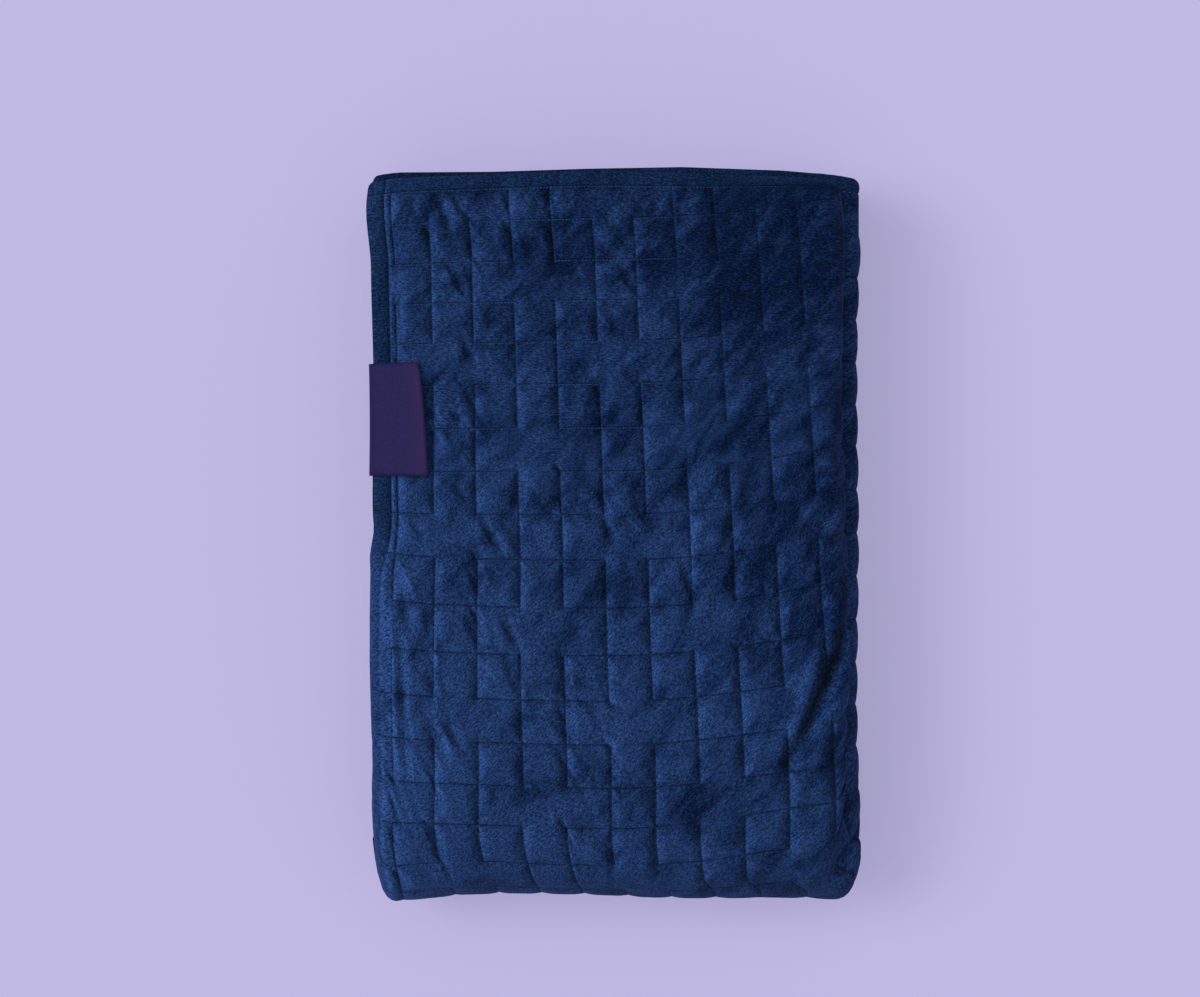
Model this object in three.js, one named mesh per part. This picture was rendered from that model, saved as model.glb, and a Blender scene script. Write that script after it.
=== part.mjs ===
// A quilted weighted blanket, folded into quarters across its width and then into quarters along its
// length, lying flat. One sheet of filled cloth makes the whole pile: its section is a back-and-forth
// line of four layers, and that section is swept along a second back-and-forth path.
// Millimetres. +X is to the right, +Y runs away from the big front fold, +Z is up.

import * as THREE from 'three';

// ---- Driving dimensions -------------------------------------------------------------------------

const clothThickness = 7.2;
const layerPitch = 8;          // from the middle of one layer to the middle of the next
const layersPerStrip = 4;      // folded across the width
const stripsInPile = 4;        // folded along the length

const foldedWidth = 312;
const foldedLength = 476;      // front fold to the back hem of the third strip
const topHemSetback = 5;       // the top strip's hem stops short of the hem under it
const backFoldSetback = 2;     // so does the fold between the two lowest strips

const hemEdgeShare = 0.5;      // thickness at the very end of the turned hem, as a share of the cloth's
const hemRounding = 3;         // length over which the cloth comes down to that

const labelLength = 74;        // along Y
const labelReach = 34.5;       // from the hem's edge onto the blanket
const labelThickness = 1;
const labelGap = 0.6;
const labelLift = 3;           // its free end stands up off the cloth
const labelCentreY = 313;

// How the pile has settled.
const backLean = 4.5;          // the left side leans in just in front of the back hem
const frontLean = 2.5;         // and again halfway to the front
const foldStandOut = 16;       // the lower strips' right-hand folds stand out past the top strip
const middleStandOut = 0.55;   // share of that halfway along
const sideDrop = 5;            // the top goes down towards its left and right edges
const rollDrop = 9;            // and further where the left edge rolls under, nearer the front
const backDrop = 4;            // and towards its hemmed back edge
const cornerPull = 5;          // the corners are drawn in
const cornerBulge = 6;         // beside them the front fold bulges forward
const edgeWave = 1.6;          // unevenness of the edges

// ---- Sizes that follow --------------------------------------------------------------------------

const halfCloth = clothThickness / 2;
const stripPitch = layerPitch * layersPerStrip;
const halfStrip = stripPitch / 2 - (layerPitch - clothThickness) / 2;
const pileHeight = stripPitch * stripsInPile;
const topLayer = 1.5 * layerPitch;

const outerTurn = 1.5 * layerPitch;    // turn of the outermost layer at the right, about its middle
const innerTurn = 0.5 * layerPitch;
const rightCentre = foldedWidth - outerTurn - halfCloth;
const leftCentre = innerTurn + halfCloth;

const frontTurn = 1.5 * stripPitch;    // turn of the whole strip round the front
const nestedTurn = 0.5 * stripPitch;   // turn of the strips inside it, and at the back
const frontCentre = frontTurn + halfStrip;
const backCentre = foldedLength - backFoldSetback - nestedTurn - halfStrip;

// Places where every layer has a row of vertices, so that neighbouring layers bend alike.
const acrossKnots = [60, 125, 190, 250];
const alongKnots = [130, 205, 280, 355];

const widthFoldSteps = 5;
const smallFoldSteps = 3;
const frontFoldSteps = 7;
const backFoldSteps = 4;

// ---- The two back-and-forth lines ---------------------------------------------------------------

// A turn of half a circle about (cx, cy), starting at angle `from` and going round by `sweep`. Each
// point has its place and the normal on the turn's outer side, times `side`.
function halfTurn(cx, cy, radius, from, sweep, steps, side) {
  const points = [];
  for (let i = 1; i < steps; i++) {
    const angle = from + sweep * (i / steps);
    const ux = Math.cos(angle);
    const uy = Math.sin(angle);
    points.push({ at: [cx + radius * ux, cy + radius * uy], normal: [side * ux, side * uy] });
  }
  return points;
}

// A straight run at a given height, from one place to another over the knots between them.
function straightRun(from, to, height, knots, normal) {
  const low = Math.min(from, to);
  const high = Math.max(from, to);
  const places = [low, ...knots.filter((k) => k > low + 1 && k < high - 1), high];
  if (from > to) {
    places.reverse();
  }
  return places.map((place) => ({ at: [place, height], normal: [0, normal] }));
}

// The section across the width, in x and in n, the height within one strip. It starts at the hem of
// the top layer and ends at the hem just under it.
function widthLine() {
  const quarter = Math.PI / 2;
  const hemStart = halfCloth;
  const knots = [leftCentre, ...acrossKnots];
  return [
    ...straightRun(hemStart, rightCentre, topLayer, knots, 1),
    ...halfTurn(rightCentre, 0, outerTurn, quarter, -Math.PI, widthFoldSteps, 1),
    ...straightRun(rightCentre, leftCentre, -topLayer, knots, -1),
    ...halfTurn(leftCentre, -layerPitch, innerTurn, -quarter, -Math.PI, smallFoldSteps, 1),
    ...straightRun(leftCentre, rightCentre, -topLayer + layerPitch, knots, 1),
    ...halfTurn(rightCentre, 0, innerTurn, -quarter, Math.PI, widthFoldSteps, -1),
    ...straightRun(rightCentre, hemStart, topLayer - layerPitch, knots, -1),
  ];
}

// The path along the length, in y and z. It starts at the back hem of the top strip, goes round the
// front fold to the lowest strip, and ends at the back hem of the strip under the top one.
function lengthLine() {
  const quarter = Math.PI / 2;
  const level = [0, 1, 2, 3].map((i) => (i + 0.5) * stripPitch);
  const topHem = foldedLength - topHemSetback;
  const knots = [...alongKnots, backCentre];
  return [
    ...straightRun(topHem, frontCentre, level[3], [...knots, topHem - hemRounding], 1),
    ...halfTurn(frontCentre, 2 * stripPitch, frontTurn, quarter, Math.PI, frontFoldSteps, 1),
    ...straightRun(frontCentre, backCentre, level[0], knots, -1),
    ...halfTurn(backCentre, stripPitch, nestedTurn, -quarter, Math.PI, backFoldSteps, 1),
    ...straightRun(backCentre, frontCentre, level[1], knots, 1),
    ...halfTurn(frontCentre, 2 * stripPitch, nestedTurn, -quarter, -Math.PI, frontFoldSteps, -1),
    ...straightRun(frontCentre, foldedLength, level[2], [...knots, foldedLength - hemRounding], -1),
  ];
}

// ---- How the pile settles -----------------------------------------------------------------------

function smooth(from, to, value) {
  return THREE.MathUtils.smoothstep(value, from, to);
}

// Moves a point of the neat pile to where it lies in the settled one. The move is small and smooth,
// so layers that lie apart stay apart. The underside stays flat.
function settle(x, y, z) {
  const across = x / foldedWidth;
  const along = y / foldedLength;
  const up = z / pileHeight;
  const lower = 1 - smooth(0.68, 0.82, up);
  const side = Math.abs(2 * across - 1);
  const end = Math.abs(2 * along - 1);

  const backStep = 1 - smooth(0.87, 0.97, along);
  const frontStep = 1 - smooth(0.45, 0.58, along);
  const lean = (1 - across) * (backLean * backStep + frontLean * frontStep);
  const wave = edgeWave * Math.sin(9.5 * along + 5 * up) * (2 * across - 1);
  const outShare = middleStandOut + (1 - middleStandOut) * end ** 2;
  const standOut = foldStandOut * across ** 3 * lower * outShare;
  const drawnIn = cornerPull * Math.sign(across - 0.5) * side * end ** 9;
  const bow = edgeWave * Math.sin(8 * across + 4 * up) * (2 * along - 1);
  const backIn = cornerPull * side ** 9 * smooth(0.6, 1, along);
  const frontOut = cornerBulge * (side ** 6 - 2.4 * side ** 40) * (1 - smooth(0, 0.4, along));
  const roll = rollDrop * (1 - across) ** 12 * (1 - smooth(0.35, 0.6, along));
  const drop = up ** 2 * (sideDrop * side ** 8 + backDrop * smooth(0.86, 1.02, along) + roll);

  return [x + lean + wave + standOut - drawnIn, y + bow - backIn - frontOut, z - drop];
}

// ---- Solids -------------------------------------------------------------------------------------

// Takes a point of the section at a station of the path to its place in the settled pile.
function place(point, station) {
  const [x, n] = point;
  const [y, z] = station.at;
  const [ny, nz] = station.normal;
  return { neat: [x, y + n * ny, z + n * nz] };
}

// Both diagonals of a four-sided face are possible; every face takes the one that lies nearer to the
// same direction in space, so that layers on top of each other are creased alike.
const creaseDirection = new THREE.Vector3(1, 1, 0.6);

function diagonalRun(from, to) {
  const run = new THREE.Vector3().subVectors(new THREE.Vector3(...to), new THREE.Vector3(...from));
  return Math.abs(run.dot(creaseDirection));
}

// A closed solid from rings of points. `rings` holds one list of neat points for each station, all
// of one length and running clockwise seen from the next station; `caps` holds the faces that close
// the first ring, as indices into it, facing back; the last ring takes them the other way round.
function sweptSolid(rings, caps) {
  const size = rings[0].length;
  const neat = rings.flat();
  const faces = [];
  for (let j = 0; j + 1 < rings.length; j++) {
    for (let i = 0; i < size; i++) {
      const next = (i + 1) % size;
      const [a, b] = [j * size + i, j * size + next];
      const [c, d] = [b + size, a + size];
      if (diagonalRun(neat[a], neat[c]) > diagonalRun(neat[b], neat[d])) {
        faces.push([a, d, c], [a, c, b]);
      } else {
        faces.push([a, d, b], [d, c, b]);
      }
    }
  }
  const last = (rings.length - 1) * size;
  for (const [a, b, c] of caps) {
    faces.push([a, b, c], [last + a, last + c, last + b]);
  }
  const geometry = new THREE.BufferGeometry();
  const settled = neat.flatMap(([x, y, z]) => settle(x, y, z));
  geometry.setAttribute('position', new THREE.Float32BufferAttribute(settled, 3));
  geometry.setIndex(faces.flat());
  geometry.computeVertexNormals();
  return geometry;
}

// The ring round a line of cloth: out along one side, round the far hem, back along the other side
// and round the near hem. `half` is half the cloth's thickness at this station.
function clothRing(line, half) {
  const offset = (p, side) => [p.at[0] + side * half * p.normal[0], p.at[1] + side * half * p.normal[1]];
  const roundHem = (p, side) => {
    const outward = -1;
    return [0.5, -0.5].map((tilt) => [
      p.at[0] + outward * half * Math.cos(tilt * Math.PI * 0.66),
      p.at[1] + side * p.normal[1] * half * Math.sin(tilt * Math.PI * 0.66),
    ]);
  };
  const first = line[0];
  const last = line[line.length - 1];
  return [
    ...line.map((p) => offset(p, 1)),
    ...roundHem(last, 1),
    ...[...line].reverse().map((p) => offset(p, -1)),
    ...roundHem(first, -1),
  ];
}

// The faces that close a cloth ring made over a line of `count` points.
function clothCaps(count) {
  const caps = [];
  const hem = 2;
  const back = (i) => 2 * count + hem - 1 - i;
  for (let i = 0; i + 1 < count; i++) {
    caps.push([i, i + 1, back(i + 1)], [i, back(i + 1), back(i)]);
  }
  const far = count - 1;
  caps.push([far, far + 1, far + 2], [far, far + 2, back(far)]);
  const near = 2 * count + hem;
  caps.push([0, back(0), near], [0, near, near + 1]);
  return caps;
}

function blanketGeometry() {
  const across = widthLine();
  const along = lengthLine();
  const rings = along.map((station, j) => {
    const atHem = j === 0 || j === along.length - 1;
    const half = halfCloth * (atHem ? hemEdgeShare : 1);
    return clothRing(across, half).map((point) => place(point, station).neat);
  });
  return sweptSolid(rings, clothCaps(across.length));
}

// The label comes out of the hem's edge, turns up over its round edge and lies on the top layer.
function labelGeometry() {
  const hemCentre = [halfCloth, topLayer];
  const inner = halfCloth + labelGap;
  const outer = inner + labelThickness;
  const turnSteps = 6;
  const flatSteps = 3;
  const startAngle = THREE.MathUtils.degToRad(195);
  const endAngle = Math.PI / 2;
  const sideOf = (radius) => {
    const points = [];
    for (let i = 0; i < turnSteps; i++) {
      const angle = startAngle + (endAngle - startAngle) * (i / turnSteps);
      points.push([hemCentre[0] + radius * Math.cos(angle), hemCentre[1] + radius * Math.sin(angle)]);
    }
    for (let i = 0; i <= flatSteps; i++) {
      const share = i / flatSteps;
      const x = hemCentre[0] + share * (labelReach - hemCentre[0]);
      points.push([x, hemCentre[1] + radius + labelLift * share ** 2]);
    }
    return points;
  };
  const top = sideOf(outer);
  const section = [...top, ...sideOf(inner).reverse()];
  const caps = [];
  const back = (i) => 2 * top.length - 1 - i;
  for (let i = 0; i + 1 < top.length; i++) {
    caps.push([i, i + 1, back(i + 1)], [i, back(i + 1), back(i)]);
  }
  const topLevel = (stripsInPile - 0.5) * stripPitch;
  const stations = [0.5, 0, -0.5].map((share) => ({
    at: [labelCentreY + share * labelLength, topLevel],
    normal: [0, 1],
  }));
  const rings = stations.map((station) => section.map((point) => place(point, station).neat));
  return sweptSolid(rings, caps);
}

// ---- The object ---------------------------------------------------------------------------------

function piece(name, geometry, colour, roughness) {
  const material = new THREE.MeshStandardMaterial({ color: colour, roughness, metalness: 0 });
  const mesh = new THREE.Mesh(geometry, material);
  mesh.name = name;
  return mesh;
}

const foldedBlanket = new THREE.Group();
foldedBlanket.add(piece('blanket', blanketGeometry(), 0x19376e, 0.9));
foldedBlanket.add(piece('label', labelGeometry(), 0x2d2a5a, 0.6));

// The origin is under the middle of the pile, on the surface that it lies on.
const extent = new THREE.Box3().setFromObject(foldedBlanket);
const middle = extent.getCenter(new THREE.Vector3());
foldedBlanket.position.set(-middle.x, -middle.y, -extent.min.z);

export default foldedBlanket;
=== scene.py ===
"""The looks of a quilted weighted blanket, folded into quarters both ways and lying flat.

The blanket is one sheet of plush cloth. Its surface is worked out from where each spot of the flat
sheet goes in the folded pile, so the quilting, the hems and the creases lie where the cloth takes
them. Lengths are in millimetres until a mesh is made, and then in metres.
"""

import functools
import itertools
import logging
import math
from dataclasses import dataclass, field
from enum import Enum
from typing import ClassVar

import bpy
import numpy as np
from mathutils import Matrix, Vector, noise


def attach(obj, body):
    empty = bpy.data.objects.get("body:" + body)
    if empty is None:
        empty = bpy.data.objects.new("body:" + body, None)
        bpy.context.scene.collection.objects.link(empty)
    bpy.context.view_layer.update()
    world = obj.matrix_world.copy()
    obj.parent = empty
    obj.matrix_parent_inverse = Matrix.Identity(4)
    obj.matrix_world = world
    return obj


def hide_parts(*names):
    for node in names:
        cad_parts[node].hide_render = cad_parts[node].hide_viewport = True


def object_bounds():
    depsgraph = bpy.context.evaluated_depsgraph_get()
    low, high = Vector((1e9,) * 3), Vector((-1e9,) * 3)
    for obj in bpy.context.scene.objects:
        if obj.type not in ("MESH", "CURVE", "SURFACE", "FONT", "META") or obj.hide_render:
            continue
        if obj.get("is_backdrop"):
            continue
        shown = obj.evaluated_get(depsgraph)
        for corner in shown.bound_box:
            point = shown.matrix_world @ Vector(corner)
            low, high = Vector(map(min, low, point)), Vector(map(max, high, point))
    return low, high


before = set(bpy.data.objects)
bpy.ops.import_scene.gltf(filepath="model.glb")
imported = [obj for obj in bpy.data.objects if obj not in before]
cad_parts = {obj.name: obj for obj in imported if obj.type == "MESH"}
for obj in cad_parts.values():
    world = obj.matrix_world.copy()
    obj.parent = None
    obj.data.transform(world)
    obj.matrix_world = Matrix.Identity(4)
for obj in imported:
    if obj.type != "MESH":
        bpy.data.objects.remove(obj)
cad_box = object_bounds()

log = logging.getLogger("folded_blanket")

METRES = 0.001
Numbers = np.ndarray
Colour = tuple[float, float, float]


@dataclass(frozen=True)
class Ramp:
    """A soft ramp between two values.

    Attributes:
        low: the value where it starts.
        high: the value where it ends.
        at_low: what it gives before its start.
        at_high: what it gives past its end.
    """

    low: float
    high: float
    at_low: float = 0.0
    at_high: float = 1.0

    def of(self, value: Numbers) -> Numbers:
        """Looks numbers up on the ramp.

        Args:
            value: the numbers.

        Returns:
            What the ramp gives for each.
        """
        share = np.clip((value - self.low) / (self.high - self.low), 0.0, 1.0)
        return self.at_low + (self.at_high - self.at_low) * share * share * (3.0 - 2.0 * share)


@dataclass(frozen=True)
class Band:
    """A soft band: it rises between `start` and `full`, and fades between `fading` and `gone`."""

    start: float
    full: float
    fading: float
    gone: float

    def of(self, value: Numbers) -> Numbers:
        """How strong the band is at each value, from 0 to 1."""
        return Ramp(self.start, self.full).of(value) * Ramp(self.fading, self.gone, 1, 0).of(value)


# ---- The folds ----------------------------------------------------------------------------------


@dataclass(frozen=True)
class Stretch:
    """One stretch of a line: its length, and its curve as one over the radius, left turns positive."""

    length: float
    curve: float = 0.0

    @staticmethod
    def half_turn(radius: float) -> "Stretch":
        """Turns round by half, to the left, or to the right if the radius is negative."""
        return Stretch(math.pi * abs(radius), 1 / radius)


@dataclass(frozen=True)
class Line:
    """A back-and-forth line of straight runs and half turns in a plane."""

    start: tuple[float, float]
    heading: float
    normal_turn: float
    stretches: tuple[Stretch, ...]

    @property
    def length(self) -> float:
        """Length of the whole line."""
        return sum(stretch.length for stretch in self.stretches)

    @property
    def ends(self) -> list[float]:
        """How far along the line each stretch ends."""
        return list(itertools.accumulate(stretch.length for stretch in self.stretches))

    def at(self, along: Numbers) -> tuple[Numbers, Numbers, Numbers, Numbers]:
        """Finds points of the line; the first and last stretches go on past the ends.

        Args:
            along: distances from the line's start.

        Returns:
            The two coordinates of each point, and the two of the normal there.
        """
        first, second = np.zeros_like(along), np.zeros_like(along)
        angle = np.zeros_like(along)
        here, heading, begin = np.array(self.start), self.heading, 0.0
        for index, stretch in enumerate(self.stretches):
            end = begin + stretch.length
            low = -math.inf if index == 0 else begin
            high = math.inf if index == len(self.stretches) - 1 else end
            inside = (along >= low) & (along < high)
            run = along[inside] - begin
            turned = heading + stretch.curve * run
            across, up = self._advance(heading, stretch.curve, run)
            first[inside], second[inside] = here[0] + across, here[1] + up
            angle[inside] = turned
            step = self._advance(heading, stretch.curve, np.array([stretch.length]))
            here = here + np.array([step[0][0], step[1][0]])
            heading += stretch.curve * stretch.length
            begin = end
        normal = angle + self.normal_turn
        return first, second, np.cos(normal), np.sin(normal)

    @staticmethod
    def _advance(heading: float, curve: float, run: Numbers) -> tuple[Numbers, Numbers]:
        """Moves `run` along a stretch and returns how far that goes both ways."""
        if curve == 0.0:
            return run * math.cos(heading), run * math.sin(heading)
        turned = heading + curve * run
        return (
            (np.sin(turned) - math.sin(heading)) / curve,
            (math.cos(heading) - np.cos(turned)) / curve,
        )


@dataclass(frozen=True)
class FoldPlan:
    """Sizes of the folded pile and the two lines that the cloth follows through it."""

    layer_pitch: float = 8.0
    cloth: float = 7.2
    width: float = 312.0
    length: float = 476.0
    top_hem_setback: float = 5.0
    back_fold_setback: float = 2.0

    @property
    def strip_pitch(self) -> float:
        """Height of one strip of four layers."""
        return 4 * self.layer_pitch

    @property
    def height(self) -> float:
        """Height of the pile of four strips."""
        return 4 * self.strip_pitch

    @property
    def half_strip(self) -> float:
        """Half of one strip's height, without the gap to the next."""
        return self.strip_pitch / 2 - (self.layer_pitch - self.cloth) / 2

    def width_line(self) -> Line:
        """The line across one strip: hem, right fold, left fold, inner right fold, hem."""
        outer, inner = 1.5 * self.layer_pitch, 0.5 * self.layer_pitch
        start = self.cloth / 2
        right = self.width - outer - self.cloth / 2
        left = inner + self.cloth / 2
        return Line(
            start=(start, outer),
            heading=0.0,
            normal_turn=math.pi / 2,
            stretches=(
                Stretch(right - start),
                Stretch.half_turn(-outer),
                Stretch(right - left),
                Stretch.half_turn(-inner),
                Stretch(right - left),
                Stretch.half_turn(inner),
                Stretch(right - start),
            ),
        )

    def length_line(self) -> Line:
        """The line of the strips: back hem, front fold, back fold, inner front fold, back hem."""
        outer, inner = 1.5 * self.strip_pitch, 0.5 * self.strip_pitch
        front = outer + self.half_strip
        back = self.length - self.back_fold_setback - inner - self.half_strip
        top_hem = self.length - self.top_hem_setback
        return Line(
            start=(top_hem, 3.5 * self.strip_pitch),
            heading=math.pi,
            normal_turn=-math.pi / 2,
            stretches=(
                Stretch(top_hem - front),
                Stretch.half_turn(outer),
                Stretch(back - front),
                Stretch.half_turn(inner),
                Stretch(back - front),
                Stretch.half_turn(-inner),
                Stretch(self.length - front),
            ),
        )


@dataclass(frozen=True)
class Settling:
    """How the neat pile has settled under its own weight.

    The ramps run over shares of the pile's width, length or height, from the left, front and floor.
    """

    plan: FoldPlan
    back_lean: float = 4.5
    back_leaning: Ramp = Ramp(0.87, 0.97, 1, 0)
    front_lean: float = 2.5
    front_leaning: Ramp = Ramp(0.45, 0.58, 1, 0)
    front_spread: float = 3.5
    spreading: Ramp = Ramp(0.03, 0.2, 1, 0)
    edge_wave: float = 1.6
    side_waves: tuple[float, float] = (9.5, 5.0)
    end_waves: tuple[float, float] = (8.0, 4.0)
    fold_stand_out: float = 16.0
    least_stand_out: float = 0.55
    lower_strips: Ramp = Ramp(0.68, 0.82, 1, 0)
    corner_pull: float = 5.0
    corner_power: int = 9
    back_corners: Ramp = Ramp(0.6, 1.0)
    corner_bulge: float = 6.0
    bulge_power: int = 6
    corner_tuck: float = 2.4
    tuck_power: int = 40
    front_corners: Ramp = Ramp(0.4, 0.0)
    side_drop: float = 5.0
    side_drop_power: int = 8
    back_drop: float = 4.0
    back_dropping: Ramp = Ramp(0.86, 1.02)
    roll_drop: float = 9.0
    roll_power: int = 12
    rolling: Ramp = Ramp(0.35, 0.6, 1, 0)

    def lean(self, x: Numbers, y: Numbers) -> Numbers:
        """How far the left edge is drawn in, in two steps, before it spreads at the front."""
        along = y / self.plan.length
        drawn = self.back_lean * self.back_leaning.of(along)
        drawn = drawn + self.front_lean * self.front_leaning.of(along)
        return (1 - x / self.plan.width) * (drawn - self.front_spread * self.spreading.of(along))

    def move(self, x: Numbers, y: Numbers, z: Numbers) -> tuple[Numbers, Numbers, Numbers]:
        """Moves points of the neat pile to where they lie.

        Args:
            x: distances from the left side.
            y: distances from the front.
            z: heights.

        Returns:
            The moved coordinates.
        """
        across, along, up = x / self.plan.width, y / self.plan.length, z / self.plan.height
        side, end = np.abs(2 * across - 1), np.abs(2 * along - 1)
        wave = self._waves(self.side_waves, along, up) * (2 * across - 1)
        at_ends = self.least_stand_out + (1 - self.least_stand_out) * end**2
        stand_out = self.fold_stand_out * across**3 * self.lower_strips.of(up) * at_ends
        drawn_in = self.corner_pull * np.sign(across - 0.5) * side * end**self.corner_power
        bow = self._waves(self.end_waves, across, up) * (2 * along - 1)
        back_in = self.corner_pull * side**self.corner_power * self.back_corners.of(along)
        bulge = self.corner_bulge * (side**self.bulge_power - self.corner_tuck * side**self.tuck_power)
        front_out = bulge * self.front_corners.of(along)
        roll = self.roll_drop * np.maximum(1 - across, 0) ** self.roll_power * self.rolling.of(along)
        drop = self.side_drop * side**self.side_drop_power
        drop = up**2 * (drop + self.back_drop * self.back_dropping.of(along) + roll)
        return x + self.lean(x, y) + wave + stand_out - drawn_in, y + bow - back_in - front_out, z - drop

    def _waves(self, turns: tuple[float, float], beside: Numbers, up: Numbers) -> Numbers:
        """Waves of the pile's edges, which change beside them and from layer to layer."""
        return self.edge_wave * np.sin(turns[0] * beside + turns[1] * up)


# ---- The quilting -------------------------------------------------------------------------------


@dataclass(frozen=True)
class Quilting:
    """A square grid of stitched lines with some edges left out, so that squares join into crosses."""

    square: float = 28.0
    first_column: float = 17.0
    first_row: float = 28.0
    repeat: int = 4

    def cells(self, u: Numbers, v: Numbers) -> tuple[Numbers, Numbers]:
        """Takes places on the flat sheet to places counted in squares."""
        return (u - self.first_column) / self.square, (v - self.first_row) / self.square

    def is_open(self, column: Numbers, row: Numbers) -> Numbers:
        """Tells whether a square is the middle of a cross, which has none of its four edges."""
        column, row = column % self.repeat, row % self.repeat
        return ((column == 3) & (row == 1)) | ((column == 1) & (row == 3))

    def is_left_out(self, line: Numbers, span: Numbers, is_column: bool) -> Numbers:
        """Tells whether a square's length of a line is left out, as it borders the middle of a cross.

        Args:
            line: number of the line.
            span: number of the square's length along it.
            is_column: whether the line runs from the back to the front.

        Returns:
            True or false for each.
        """
        sides = [(line - 1, span), (line, span)]
        if not is_column:
            sides = [(column, row) for row, column in sides]
        return self.is_open(*sides[0]) | self.is_open(*sides[1])

    def distance(self, u: Numbers, v: Numbers) -> Numbers:
        """Finds how far each spot of the flat sheet is from the nearest stitched line.

        Args:
            u: distances across from the left hem.
            v: distances along from the back hem.

        Returns:
            The distances, in millimetres.
        """
        across, along = self.cells(u, v)
        nearest = np.full_like(u, 2.0)
        for over, beside, is_column in ((across, along, True), (along, across, False)):
            for edge in (0, 1):
                for step in (-1, 0, 1):
                    line, span = np.floor(over) + edge, np.floor(beside) + step
                    left_out = self.is_left_out(line, span, is_column)
                    past = np.maximum(0, np.maximum(span - beside, beside - span - 1))
                    gap = np.hypot(over - line, past)
                    nearest = np.where(left_out, nearest, np.minimum(nearest, gap))
        return nearest * self.square

    def row_distance(self, v: Numbers) -> Numbers:
        """Finds how far each spot is from the nearest row line, whether or not it's stitched."""
        along = (v - self.first_row) / self.square
        return np.abs(along - np.round(along)) * self.square


@dataclass(frozen=True)
class Crease:
    """A soft trough, or a ridge if its depth is negative, in the upper face of the pile.

    Places are millimetres from the left side and from the back hem.
    """

    start: tuple[float, float]
    end: tuple[float, float]
    width: float
    depth: float
    scale: ClassVar[float] = 1.25
    rim: ClassVar[float] = 0.45
    rim_width: ClassVar[float] = 2.2
    taper: ClassVar[float] = 0.8

    def height(self, x: Numbers, y: Numbers) -> Numbers:
        """Finds how far the crease lifts the cloth at each place, below zero in the trough."""
        run = np.array(self.end) - np.array(self.start)
        length = math.hypot(*run)
        along = ((x - self.start[0]) * run[0] + (y - self.start[1]) * run[1]) / length
        aside = ((x - self.start[0]) * run[1] - (y - self.start[1]) * run[0]) / length
        strength = np.sin(math.pi * np.clip(along / length, 0.0, 1.0)) ** self.taper
        rim = self.rim * np.exp(-((aside / (self.rim_width * self.width)) ** 2))
        profile = np.exp(-((aside / self.width) ** 2)) - rim
        return -self.scale * self.depth * strength * profile


UPPER_FACE_CREASES = (
    Crease((29, 12), (35, 30), 3.2, 1.8),
    Crease((47, 12), (58, 42), 2.8, 2.6),
    Crease((43, 28), (52, 54), 2.6, -1.8),
    Crease((54, 12), (64, 32), 2.4, -1.6),
    Crease((57, 56), (67, 81), 2.6, 2.6),
    Crease((51, 56), (63, 80), 2.2, -1.8),
    Crease((61, 100), (75, 128), 3.4, 2.6),
    Crease((45, 145), (58, 192), 3.4, -1.8),
    Crease((56, 140), (66, 180), 3.4, 2.0),
    Crease((87, 15), (94, 26), 2.2, -1.0),
    Crease((132, 58), (144, 75), 2.8, 2.0),
    Crease((157, 28), (175, 54), 3.2, 2.0),
    Crease((163, 55), (177, 79), 3.2, 2.2),
    Crease((157, 83), (167, 110), 3.2, 2.2),
    Crease((174, 106), (166, 124), 2.8, 2.2),
    Crease((255, 54), (240, 76), 2.4, 2.6),
    Crease((230, 86), (217, 103), 2.6, 2.4),
    Crease((246, 78), (241, 90), 2.2, 1.6),
    Crease((306, 100), (298, 126), 3.0, 2.2),
    Crease((56, 198), (68, 213), 2.6, 2.4),
    Crease((31, 222), (39, 238), 2.6, 2.4),
    Crease((75, 220), (91, 248), 2.8, 2.8),
    Crease((154, 220), (162, 240), 3.0, 2.2),
    Crease((231, 219), (214, 243), 2.8, 2.6),
    Crease((287, 210), (277, 225), 2.4, 2.0),
    Crease((306, 208), (294, 232), 2.6, 2.6),
    Crease((294, 234), (283, 258), 2.6, 2.6),
    Crease((302, 238), (295, 252), 2.4, 2.0),
    Crease((166, 245), (175, 266), 3.0, 2.2),
    Crease((205, 247), (212, 272), 3.0, 2.2),
    Crease((27, 255), (36, 276), 2.4, -2.0),
    Crease((35, 270), (41, 303), 2.4, -2.0),
    Crease((25, 266), (31, 300), 2.6, 2.6),
    Crease((20, 280), (21, 388), 2.6, -1.8),
    Crease((25, 296), (29, 390), 2.8, 3.0),
    Crease((34, 303), (38, 324), 2.4, 2.0),
    Crease((46, 290), (51, 352), 2.8, -1.8),
    Crease((47, 350), (62, 378), 2.8, -2.0),
    Crease((54, 350), (66, 378), 2.6, 1.8),
    Crease((91, 284), (101, 310), 3.2, 2.4),
    Crease((94, 305), (97, 324), 2.8, 2.0),
    Crease((203, 282), (192, 295), 2.8, 2.2),
    Crease((241, 304), (221, 323), 3.0, 1.8),
    Crease((317, 272), (299, 334), 5.5, 6.0),
    Crease((308, 304), (283, 368), 5.5, 6.0),
    Crease((297, 330), (270, 392), 5.0, 5.0),
    Crease((299, 296), (280, 346), 4.4, -2.0),
    Crease((304, 356), (288, 384), 3.6, -1.6),
    Crease((311, 322), (303, 352), 2.8, 2.6),
    Crease((312, 360), (301, 376), 2.6, 2.6),
)


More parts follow.
